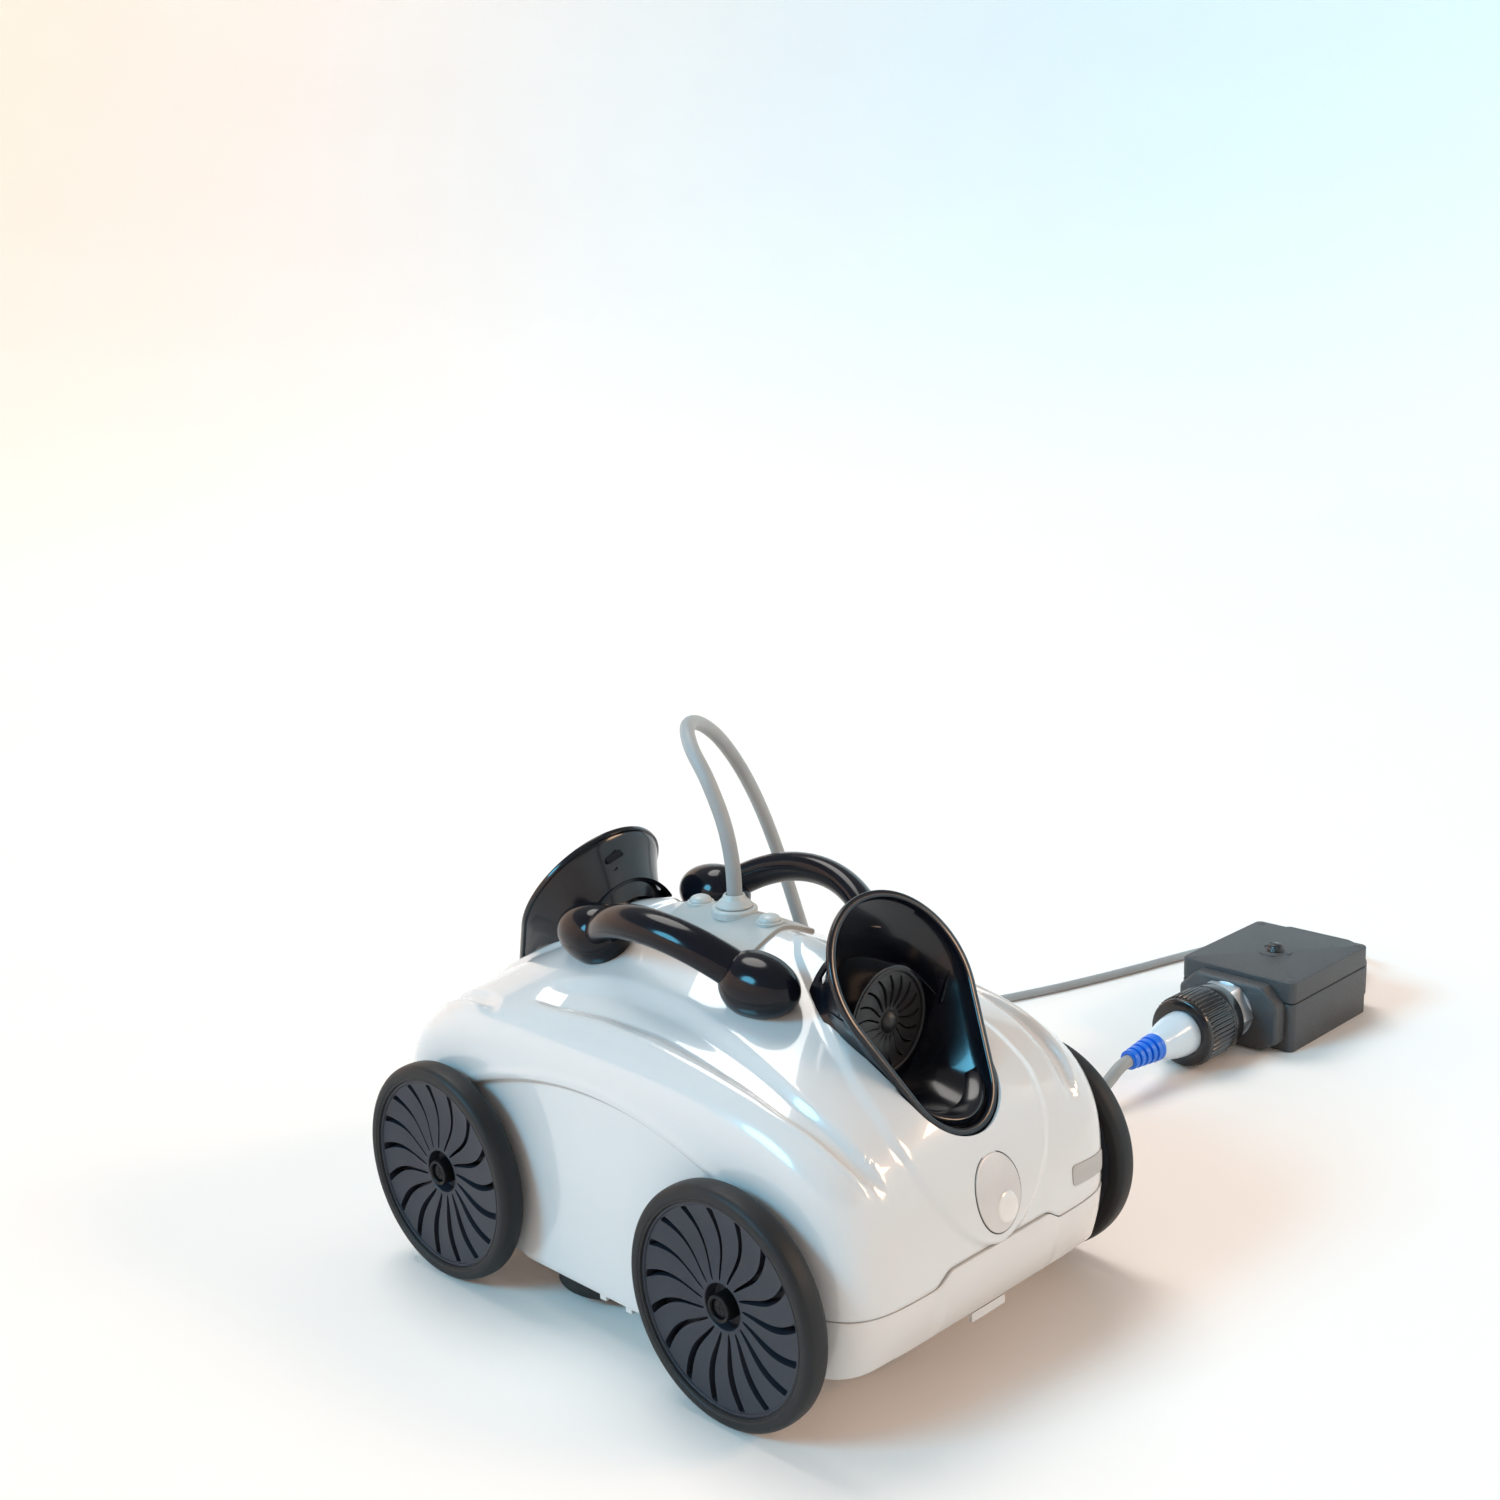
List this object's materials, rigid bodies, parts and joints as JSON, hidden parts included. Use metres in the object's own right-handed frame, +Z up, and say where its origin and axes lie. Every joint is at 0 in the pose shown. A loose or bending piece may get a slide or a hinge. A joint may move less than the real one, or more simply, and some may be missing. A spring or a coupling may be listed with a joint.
{
  "type": "pool cleaner",
  "caption": "Wheeled pool cleaner with two water jets, carrying handles, a swivelling tether and a plug-in power unit.",
  "frame": {"origin": "on the floor, under the centre of the cleaner's body, where its centre planes meet", "axes": "+Z up, -Y towards the badge and the front jet, +X to the right of someone who faces the badge"},
  "size_m": [1.0408, 0.5856, 0.3874],
  "materials": {
    "shell_gloss": "high gloss moulded shell, cool white",
    "shell_warm": "high gloss moulded shell, warm white",
    "plate_grey": "satin light grey moulding",
    "steel": "brushed stainless steel",
    "black_gloss": "glossy black moulding",
    "black_satin": "satin black moulding",
    "handle_black": "polished black moulding with a seam line",
    "badge_silver": "pearl silver inlay",
    "badge_pearl": "pearl inlay, paler",
    "label_grey": "satin grey film, blank",
    "motor_grey": "potted motor case",
    "inner_plastic": "plain inner moulding",
    "seal_rubber": "black nitrile rubber",
    "filter_blue": "blue moulded frame",
    "filter_mesh": "fine woven screen",
    "foam": "closed cell foam",
    "mouth_rubber": "soft black rubber",
    "screw_black": "black capped screw",
    "collar_grey": "satin light grey moulding",
    "propeller": "glass filled black moulding",
    "tyre": "smooth charcoal rubber",
    "disc_slate": "satin slate moulding",
    "cable_grey": "satin grey cable jacket",
    "relief_blue": "bright blue soft moulding",
    "cone_white": "gloss white moulding",
    "ring_black": "gloss black ribbed moulding",
    "nut_silver": "satin plated nut",
    "unit_grey": "fine textured dark grey enclosure",
    "knob_black": "black moulding",
    "board_green": "circuit board and its parts",
    "gland_grey": "dark grey cable gland",
    "plug_black": "black moulded plug"
  },
  "bodies": {
    "chassis": {"upper_shell": "shell_gloss", "lower_shell": "shell_warm", "bumpers": "shell_warm", "top_plate": "plate_grey", "plate_screws": "plate_grey", "shell_screws": "steel", "front_nozzle": "black_gloss", "rear_nozzle": "black_gloss", "front_guard": "black_satin", "rear_guard": "black_satin", "left_handle": "handle_black", "right_handle": "handle_black", "handle_screws": "steel", "badge": "badge_silver", "badge_stud": "badge_pearl", "label_plate": "label_grey", "pump_motor": "motor_grey", "pump_deck": "inner_plastic", "shaft_seals": "seal_rubber", "filter_frame": "filter_blue", "filter_screen": "filter_mesh", "float_blocks": "foam", "suction_mouths": "mouth_rubber", "axle_stubs": "steel", "wheel_screws": "screw_black", "swivel_base": "plate_grey", "swivel_seal": "seal_rubber", "hinge_pins": "steel", "tether_cord": "cable_grey", "plug_relief": "relief_blue", "plug_cone": "cone_white", "socket_nut": "nut_silver", "unit_base": "unit_grey", "unit_gasket": "seal_rubber", "unit_lid": "unit_grey", "unit_board": "board_green", "mains_gland": "gland_grey", "mains_lead": "cable_grey", "mains_coil": "cable_grey", "coil_tie": "knob_black", "mains_plug": "plug_black", "plug_pins": "steel"},
    "wheel_front_left": {"tyre_front_left": "tyre", "disc_front_left": "disc_slate"},
    "wheel_front_right": {"tyre_front_right": "tyre", "disc_front_right": "disc_slate"},
    "wheel_rear_left": {"tyre_rear_left": "tyre", "disc_rear_left": "disc_slate"},
    "wheel_rear_right": {"tyre_rear_right": "tyre", "disc_rear_right": "disc_slate"},
    "rotor": {"pump_shaft": "steel", "front_propeller": "propeller", "rear_propeller": "propeller"},
    "swivel": {"swivel_collar": "collar_grey"},
    "intake_flap_left": {"flap_left": "mouth_rubber"},
    "intake_flap_right": {"flap_right": "mouth_rubber"},
    "tray_latch_front": {"latch_front": "shell_warm"},
    "tray_latch_rear": {"latch_rear": "shell_warm"},
    "plug_ring": {"coupling_ring": "ring_black"},
    "timer_knob": {"unit_knob": "knob_black"}
  },
  "joints": [
    {"name": "wheel_front_left_spin", "type": "hinge", "parent": "chassis", "child": "wheel_front_left", "pos_m": [-0.155, -0.1425, 0.08], "axis": [1, 0, 0], "continuous": true},
    {"name": "wheel_front_right_spin", "type": "hinge", "parent": "chassis", "child": "wheel_front_right", "pos_m": [0.155, -0.1425, 0.08], "axis": [1, 0, 0], "continuous": true},
    {"name": "wheel_rear_left_spin", "type": "hinge", "parent": "chassis", "child": "wheel_rear_left", "pos_m": [-0.155, 0.1425, 0.08], "axis": [1, 0, 0], "continuous": true},
    {"name": "wheel_rear_right_spin", "type": "hinge", "parent": "chassis", "child": "wheel_rear_right", "pos_m": [0.155, 0.1425, 0.08], "axis": [1, 0, 0], "continuous": true},
    {"name": "rotor_spin", "type": "hinge", "parent": "chassis", "child": "rotor", "pos_m": [0, 0, 0.217], "axis": [0, 1, 0], "continuous": true},
    {"name": "swivel_turn", "type": "hinge", "parent": "chassis", "child": "swivel", "pos_m": [0, 0, 0.27], "axis": [0, 0, 1], "continuous": true},
    {"name": "flap_left_open", "type": "hinge", "parent": "chassis", "child": "intake_flap_left", "pos_m": [-0.048, 0.042, 0.035], "axis": [0, 1, 0], "range_deg": [0, 75]},
    {"name": "flap_right_open", "type": "hinge", "parent": "chassis", "child": "intake_flap_right", "pos_m": [0.048, -0.042, 0.035], "axis": [0, -1, 0], "range_deg": [0, 75]},
    {"name": "latch_front_open", "type": "hinge", "parent": "chassis", "child": "tray_latch_front", "pos_m": [0, -0.207, 0.0405], "axis": [1, 0, 0], "range_deg": [0, 70]},
    {"name": "latch_rear_open", "type": "hinge", "parent": "chassis", "child": "tray_latch_rear", "pos_m": [0, 0.207, 0.0405], "axis": [-1, 0, 0], "range_deg": [0, 70]},
    {"name": "plug_ring_turn", "type": "hinge", "parent": "chassis", "child": "plug_ring", "pos_m": [0.52, -0.05, 0.033], "axis": [1, 0, 0], "range_deg": [0, 90]},
    {"name": "timer_knob_turn", "type": "hinge", "parent": "chassis", "child": "timer_knob", "pos_m": [0.655, -0.05, 0.066], "axis": [0, 0, 1], "range_deg": [-60, 60]}
  ]
}
